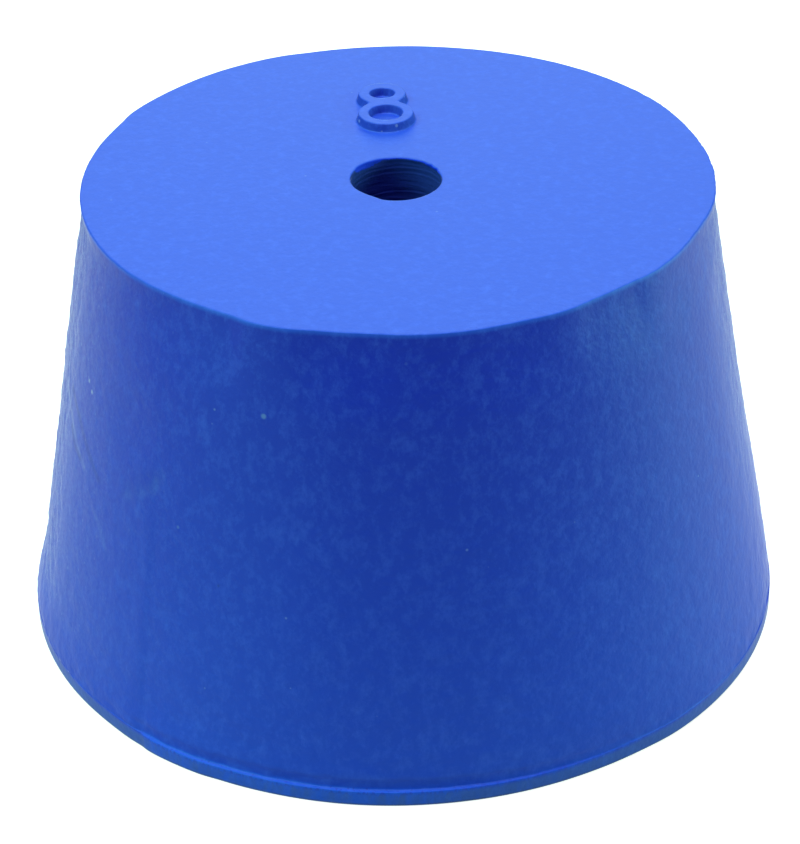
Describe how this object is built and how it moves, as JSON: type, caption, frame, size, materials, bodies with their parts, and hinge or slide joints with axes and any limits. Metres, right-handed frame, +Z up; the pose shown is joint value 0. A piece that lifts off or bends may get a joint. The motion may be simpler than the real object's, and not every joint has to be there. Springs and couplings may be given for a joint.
{
  "type": "rubber stopper",
  "caption": "Solid tapered rubber laboratory stopper with a through bore, a thin lip round the wide end and a raised size figure on the narrow face.",
  "frame": {"origin": "centre of the wide end's flat face, on the bore's axis", "axes": "+Z up the bore towards the narrow end; +Y towards the raised figure; +X completes the set"},
  "size_m": [0.041, 0.041, 0.0255],
  "materials": {
    "blue_rubber": "satin moulded rubber with fine speckle and a pale surface bloom"
  },
  "bodies": {
    "root": {"stopper": "blue_rubber"}
  },
  "joints": []
}
